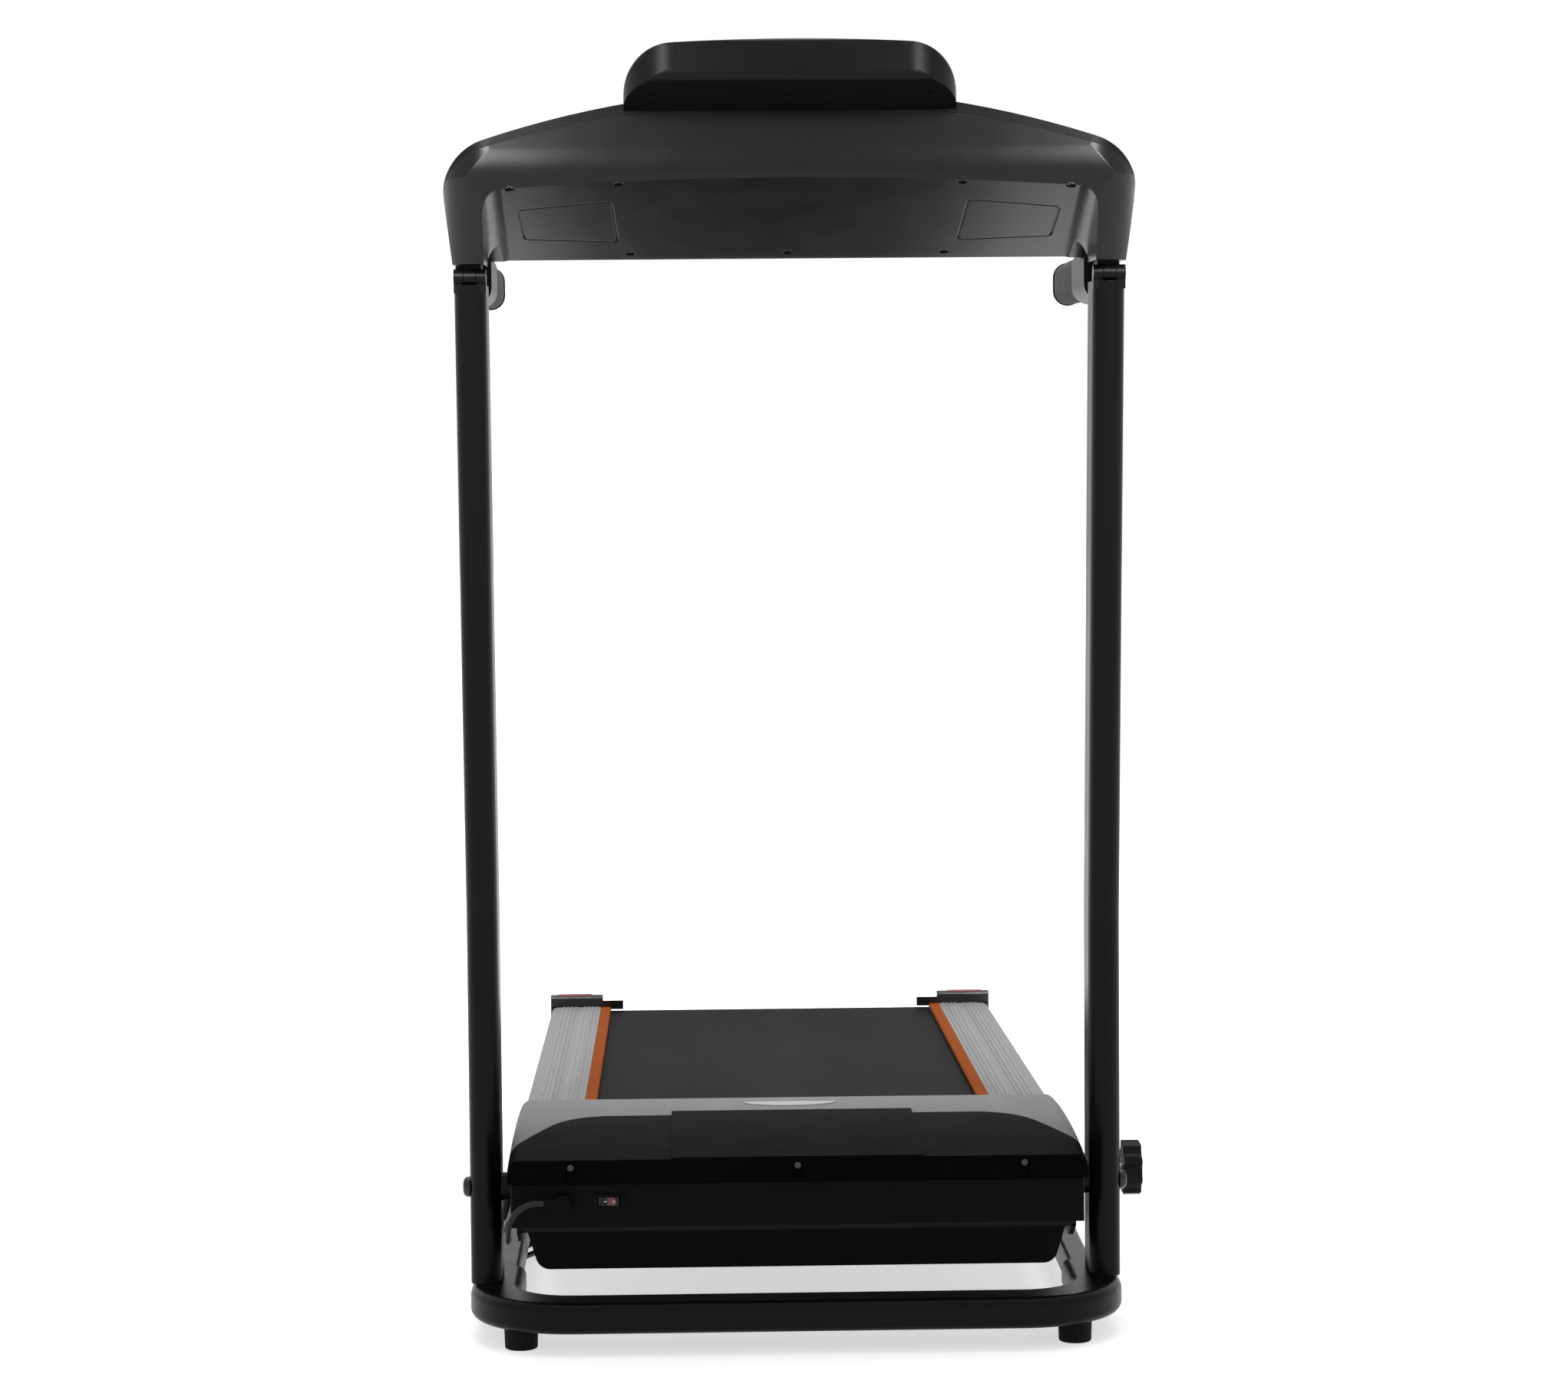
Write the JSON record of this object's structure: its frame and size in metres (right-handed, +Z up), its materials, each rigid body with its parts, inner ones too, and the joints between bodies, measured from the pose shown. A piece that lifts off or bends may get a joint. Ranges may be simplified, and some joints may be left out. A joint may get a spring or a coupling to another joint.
{
  "type": "folding treadmill",
  "caption": "Folding home treadmill with a tilted running deck, motor hood, bent tube floor frame, uprights and a sloping console with handlebars.",
  "frame": {"origin": "on the floor under the middle of the machine, its mains cord left out", "axes": "+Z up, +Y back along the deck from the motor hood to the rear roller, +X to the right as seen from the front"},
  "size_m": [0.6585, 1.3671, 1.222],
  "materials": {
    "frame_black": "satin black powder coat",
    "shell_black": "fine grained black plastic",
    "panel_black": "matt black plastic",
    "console_grey": "fine grained charcoal plastic",
    "rail_silver": "silver paint on pressed ribs",
    "hood_silver": "silver painted plastic",
    "strip_orange": "orange plastic",
    "belt_black": "fine diamond grain",
    "rubber_black": "matt rubber",
    "steel": "turned steel",
    "bolt_black": "blackened steel",
    "zinc": "bright zinc plate",
    "board_wood": "black faced fibreboard",
    "foam_grip": "closed cell foam",
    "circuit_green": "circuit board",
    "lens_smoke": "smoked clear plastic",
    "button_grey": "satin grey",
    "button_green": "satin green",
    "button_red": "satin red",
    "cord_black": "smooth PVC sheath"
  },
  "bodies": {
    "base": {"base_frame": "frame_black", "front_feet": "rubber_black", "rear_feet": "rubber_black", "wheel_axles": "zinc", "left_upright": "frame_black", "right_upright": "frame_black", "pivot_bolts": "bolt_black", "pivot_collars": "frame_black", "hinge_pins": "bolt_black", "power_cord": "cord_black", "cord_coil": "cord_black", "cord_tie": "cord_black", "power_plug": "cord_black"},
    "left_wheel": {"left_wheel": "shell_black"},
    "right_wheel": {"right_wheel": "shell_black"},
    "lock": {"lock_knob": "shell_black", "lock_pin": "steel"},
    "deck": {"deck_frame": "frame_black", "leg_feet": "rubber_black", "running_board": "board_wood", "board_cushions": "rubber_black", "running_belt": "belt_black", "roller_axles": "zinc", "tension_bolts": "zinc", "left_rail": "rail_silver", "right_rail": "rail_silver", "edge_strips": "strip_orange", "left_end_cap": "shell_black", "right_end_cap": "shell_black", "motor": "steel", "drive_belt": "rubber_black", "belly_pan": "panel_black", "controller_board": "circuit_green", "motor_hood": "hood_silver", "hood_nose": "shell_black", "hood_screws": "bolt_black", "front_panel": "panel_black", "switch_bezel": "panel_black", "strain_relief": "panel_black"},
    "front_roller": {"front_roller": "steel"},
    "rear_roller": {"rear_roller": "steel"},
    "motor_rotor": {"motor_rotor": "steel"},
    "rocker": {"rocker": "panel_black"},
    "console": {"console_frame": "frame_black", "console_lower_shell": "console_grey", "console_upper_shell": "shell_black", "display_head": "shell_black", "display_bezel": "shell_black", "display_lens": "lens_smoke", "display_board": "circuit_green", "left_arm_cover": "shell_black", "right_arm_cover": "shell_black", "handle_grips": "foam_grip", "grip_end_caps": "rubber_black", "console_screws": "bolt_black"},
    "speed_down_button": {"speed_down_button": "button_grey"},
    "start_button": {"start_button": "button_green"},
    "stop_button": {"stop_button": "button_red"},
    "speed_up_button": {"speed_up_button": "button_grey"},
    "safety_key": {"safety_key": "button_red"}
  },
  "joints": [
    {"name": "deck_fold", "type": "hinge", "parent": "base", "child": "deck", "pos_m": [0, -0.523, 0.142], "axis": [1, 0, 0], "range_deg": [0, 79], "deforming": ["power_cord"]},
    {"name": "console_fold", "type": "hinge", "parent": "base", "child": "console", "pos_m": [0, -0.5985, 1.0105], "axis": [1, 0, 0], "range_deg": [0, 95]},
    {"name": "lock_slide", "type": "slide", "parent": "base", "child": "lock", "axis": [1, 0, 0], "range_m": [-0.005, 0.01]},
    {"name": "left_wheel_spin", "type": "hinge", "parent": "base", "child": "left_wheel", "pos_m": [-0.3035, -0.065, 0.03], "axis": [1, 0, 0], "continuous": true},
    {"name": "right_wheel_spin", "type": "hinge", "parent": "base", "child": "right_wheel", "pos_m": [0.3035, -0.065, 0.03], "axis": [1, 0, 0], "continuous": true},
    {"name": "front_roller_spin", "type": "hinge", "parent": "deck", "child": "front_roller", "pos_m": [0, -0.31779, 0.14647], "axis": [1, 0, 0], "continuous": true},
    {"name": "rear_roller_spin", "type": "hinge", "parent": "deck", "child": "rear_roller", "pos_m": [0, 0.64183, 0.11967], "axis": [1, 0, 0], "continuous": true},
    {"name": "motor_spin", "type": "hinge", "parent": "deck", "child": "motor_rotor", "pos_m": [0.1, -0.44845, 0.12491], "axis": [1, 0, 0], "continuous": true},
    {"name": "power_rocker", "type": "hinge", "parent": "deck", "child": "rocker", "pos_m": [-0.178, -0.60602, 0.14232], "axis": [0, 0.0279, 0.9996], "range_deg": [0, 12]},
    {"name": "speed_down_press", "type": "slide", "parent": "console", "child": "speed_down_button", "axis": [0, -0.6185, -0.7858], "range_m": [0, 0.0015], "stiffness_N_per_m": 400, "springref_m": -0.001},
    {"name": "start_press", "type": "slide", "parent": "console", "child": "start_button", "axis": [0, -0.6185, -0.7858], "range_m": [0, 0.0015], "stiffness_N_per_m": 400, "springref_m": -0.001},
    {"name": "stop_press", "type": "slide", "parent": "console", "child": "stop_button", "axis": [0, -0.6185, -0.7858], "range_m": [0, 0.0015], "stiffness_N_per_m": 400, "springref_m": -0.001},
    {"name": "speed_up_press", "type": "slide", "parent": "console", "child": "speed_up_button", "axis": [0, -0.6185, -0.7858], "range_m": [0, 0.0015], "stiffness_N_per_m": 400, "springref_m": -0.001},
    {"name": "safety_key_pull", "type": "slide", "parent": "console", "child": "safety_key", "axis": [0, 0.6185, 0.7858], "range_m": [0, 0.02]}
  ],
  "couplings": [
    {"joint": "rear_roller_spin", "follows": "front_roller_spin", "ratio": 1},
    {"joint": "motor_spin", "follows": "front_roller_spin", "ratio": 1.8571}
  ]
}
